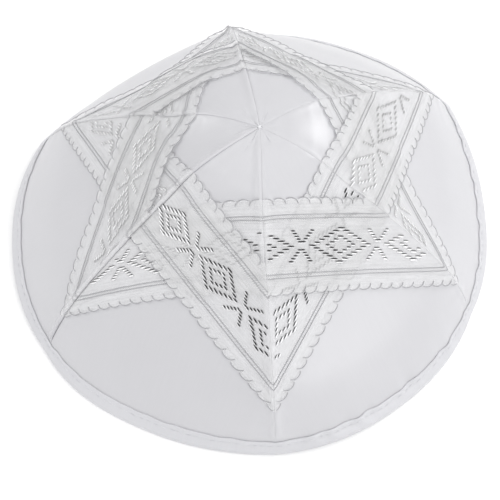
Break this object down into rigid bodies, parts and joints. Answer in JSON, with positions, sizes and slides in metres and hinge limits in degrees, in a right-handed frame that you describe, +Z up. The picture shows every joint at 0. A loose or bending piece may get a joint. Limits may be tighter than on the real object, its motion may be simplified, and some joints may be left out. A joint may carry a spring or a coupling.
{
  "type": "skullcap",
  "caption": "Domed satin skullcap of sewn gores, with a star of crossing sheer ribbons and a folded binding round its open edge.",
  "frame": {"origin": "the middle of the cap's outline, on the surface that its bound edge rests on", "axes": "+Z up through the crown, -Y towards the seam with the star's front point, +X to the right of that seam seen from the front"},
  "size_m": [0.1736, 0.1724, 0.0685],
  "materials": {
    "satin": "satin",
    "ribbon": "semi-sheer jacquard with silver threads",
    "binding": "satin"
  },
  "bodies": {
    "root": {"gore_front_right": "satin", "gore_right": "satin", "gore_back_right": "satin", "gore_back_left": "satin", "gore_left": "satin", "gore_front_left": "satin", "ribbon_under_front_right": "ribbon", "ribbon_under_right": "ribbon", "ribbon_under_back_right": "ribbon", "ribbon_under_back_left": "ribbon", "ribbon_under_left": "ribbon", "ribbon_under_front_left": "ribbon", "ribbon_over_front_right": "ribbon", "ribbon_over_right": "ribbon", "ribbon_over_back_right": "ribbon", "ribbon_over_back_left": "ribbon", "ribbon_over_left": "ribbon", "ribbon_over_front_left": "ribbon", "edge_binding": "binding"}
  },
  "joints": []
}
